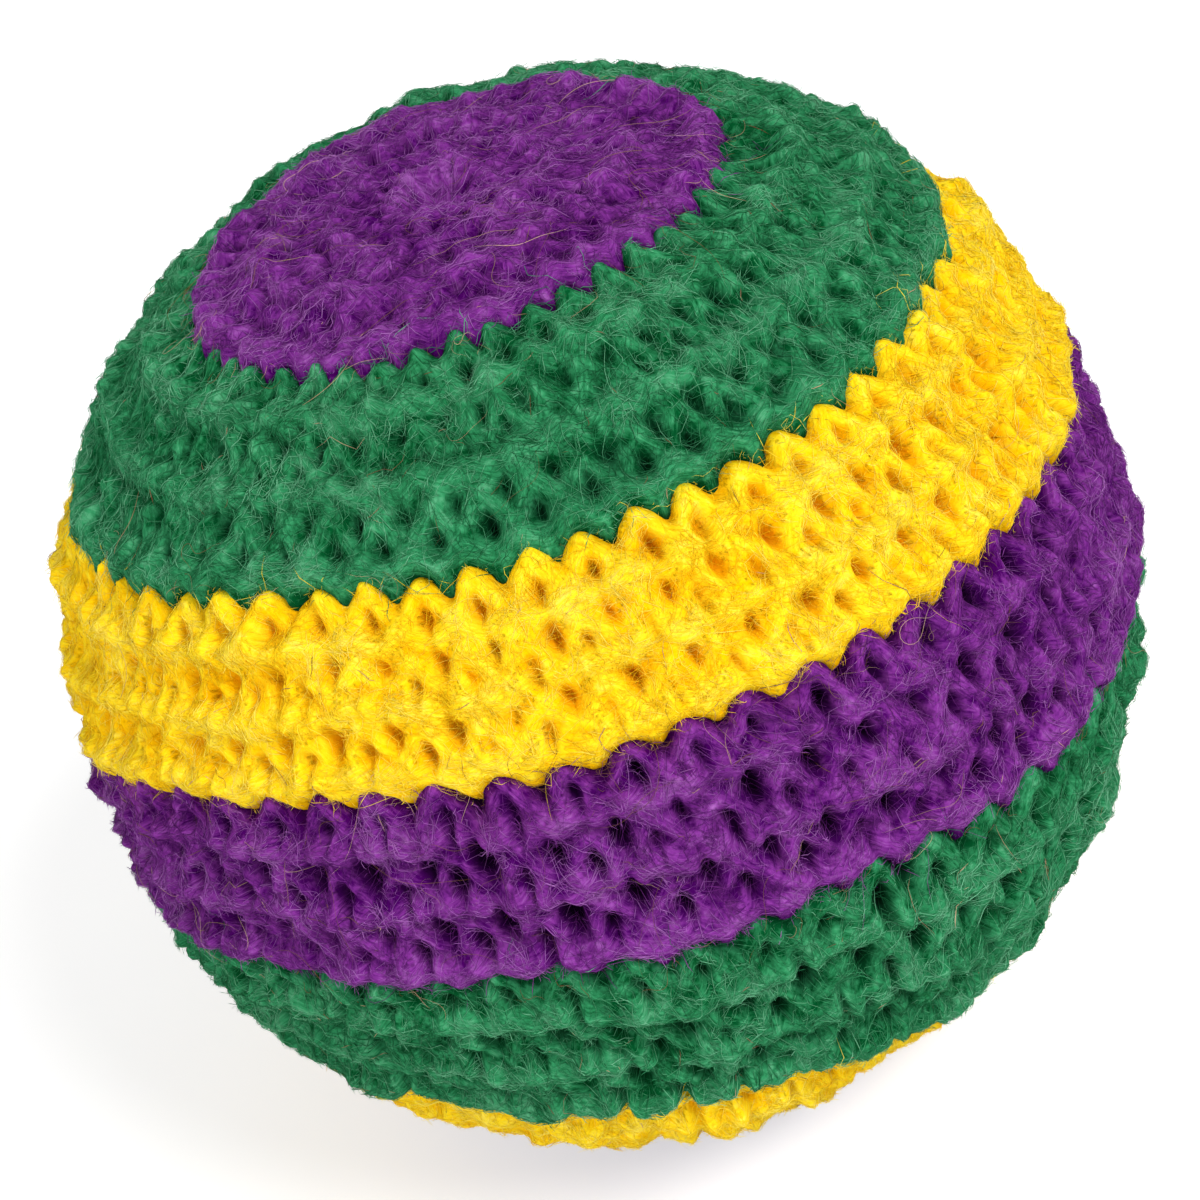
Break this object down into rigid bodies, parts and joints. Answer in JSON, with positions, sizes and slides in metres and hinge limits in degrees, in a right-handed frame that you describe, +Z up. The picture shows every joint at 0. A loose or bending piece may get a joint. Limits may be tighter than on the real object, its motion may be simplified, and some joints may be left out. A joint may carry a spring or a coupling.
{
  "type": "footbag",
  "caption": "Round crocheted footbag: striped wool cover worked in rounds, over a tied cloth pouch of dried beans.",
  "frame": {"origin": "middle of the small flat that the ball stands on, under its closing end", "axes": "+Z up the axis of the crocheted rounds, from the closing end to the start of the work"},
  "size_m": [0.054, 0.054, 0.0534],
  "materials": {
    "purple_wool": "matte",
    "green_wool": "matte",
    "yellow_wool": "matte",
    "pouch_cotton": "matte",
    "tie_thread": "matte",
    "dried_bean": "satin"
  },
  "bodies": {
    "root": {"purple_start_cap": "purple_wool", "green_upper_stripe": "green_wool", "yellow_upper_stripe": "yellow_wool", "purple_middle_stripe": "purple_wool", "green_lower_stripe": "green_wool", "yellow_lower_stripe": "yellow_wool", "purple_lower_stripe": "purple_wool", "green_closing_cap": "green_wool", "liner_pouch": "pouch_cotton", "liner_tie": "tie_thread", "bean_01": "dried_bean", "bean_02": "dried_bean", "bean_03": "dried_bean", "bean_04": "dried_bean", "bean_05": "dried_bean", "bean_06": "dried_bean", "bean_07": "dried_bean", "bean_08": "dried_bean", "bean_09": "dried_bean", "bean_10": "dried_bean", "bean_11": "dried_bean", "bean_12": "dried_bean", "bean_13": "dried_bean", "bean_14": "dried_bean", "bean_15": "dried_bean", "bean_16": "dried_bean", "bean_17": "dried_bean", "bean_18": "dried_bean", "bean_19": "dried_bean", "bean_20": "dried_bean", "bean_21": "dried_bean", "bean_22": "dried_bean", "bean_23": "dried_bean", "bean_24": "dried_bean", "bean_25": "dried_bean", "bean_26": "dried_bean", "bean_27": "dried_bean", "bean_28": "dried_bean", "bean_29": "dried_bean", "bean_30": "dried_bean", "bean_31": "dried_bean", "bean_32": "dried_bean", "bean_33": "dried_bean", "bean_34": "dried_bean", "bean_35": "dried_bean", "bean_36": "dried_bean", "bean_37": "dried_bean", "bean_38": "dried_bean", "bean_39": "dried_bean", "bean_40": "dried_bean", "bean_41": "dried_bean", "bean_42": "dried_bean", "bean_43": "dried_bean", "bean_44": "dried_bean", "bean_45": "dried_bean", "bean_46": "dried_bean"}
  },
  "joints": []
}
